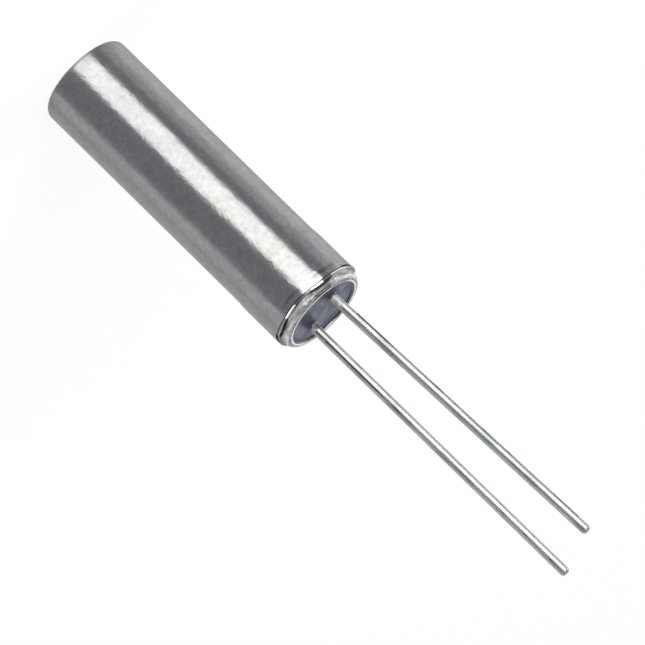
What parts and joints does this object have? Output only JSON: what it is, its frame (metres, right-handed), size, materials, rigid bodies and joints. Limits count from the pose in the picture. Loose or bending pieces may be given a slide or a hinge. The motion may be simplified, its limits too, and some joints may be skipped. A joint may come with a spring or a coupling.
{
  "type": "crystal oscillator",
  "caption": "Quartz crystal in a slim round metal can, closed at one end, with a pressed-in glass-sealed header and straight wire leads, used to set a circuit's clock.",
  "frame": {"origin": "centre of the can's flat closed end, which is also the bottom centre of the part's bounding box", "axes": "+Z along the can's axis from the closed end to the lead tips, +X from lead A to lead B, +Y to the side of the leads that carries the quartz strip"},
  "size_m": [0.0032, 0.003, 0.0213],
  "materials": {
    "nickel_silver": "satin",
    "plated_ring": "satin",
    "seal_glass": "gloss",
    "tinned_wire": "gloss",
    "quartz": "polished",
    "silver_film": "gloss",
    "silver_adhesive": "matte"
  },
  "bodies": {
    "root": {"can": "nickel_silver", "header_ring": "plated_ring", "glass_seal": "seal_glass", "lead_a": "tinned_wire", "lead_b": "tinned_wire", "quartz_strip": "quartz", "electrode_front": "silver_film", "electrode_back": "silver_film", "bond_a": "silver_adhesive", "bond_b": "silver_adhesive"}
  },
  "joints": []
}
